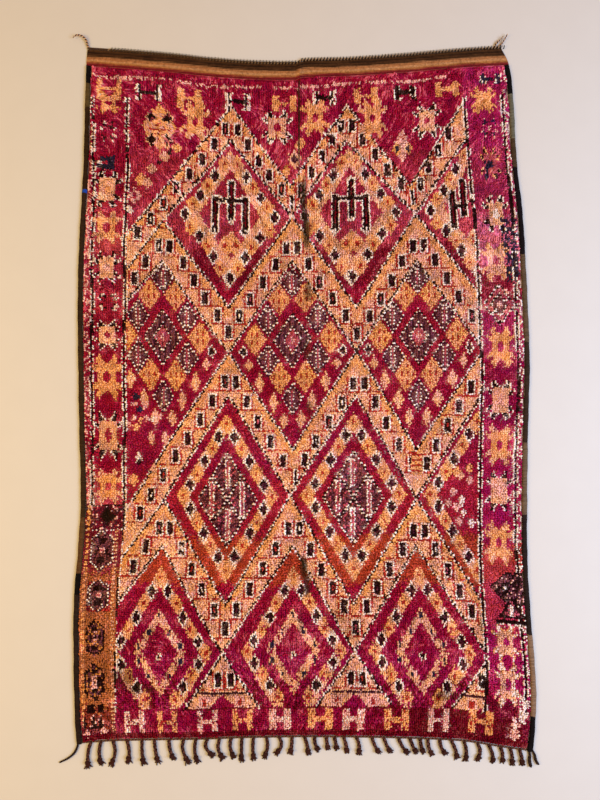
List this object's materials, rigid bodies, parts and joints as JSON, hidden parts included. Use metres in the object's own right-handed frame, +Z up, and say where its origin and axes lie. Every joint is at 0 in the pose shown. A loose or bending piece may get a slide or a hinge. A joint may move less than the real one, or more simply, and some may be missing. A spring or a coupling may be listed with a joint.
{
  "type": "hand-knotted pile rug",
  "caption": "Large hand-knotted wool pile rug lying flat, with a flat-woven end, overcast sides and a braided fringe along one end.",
  "frame": {"origin": "middle of the outline on the floor under the rug, braids and loose tails included", "axes": "+Y along the rug from the braided fringe towards the flat-woven end, +X across it, +Z up from the floor through the pile"},
  "size_m": [1.8718, 2.919, 0.0201],
  "materials": {
    "knotted_pile": "matte wool pile in crimson, rose and orange",
    "side_cord_dark": "matte black-brown goat hair",
    "side_cord_brown": "matte brown goat hair",
    "twined_cord": "matte twined wool, black with cream",
    "braided_fringe": "matte braided dark wool"
  },
  "bodies": {
    "root": {"rug_ground": "knotted_pile", "side_cord_left": "side_cord_dark", "side_cord_right": "side_cord_brown", "flat_end_cord": "twined_cord", "braided_fringe": "braided_fringe"}
  },
  "joints": []
}
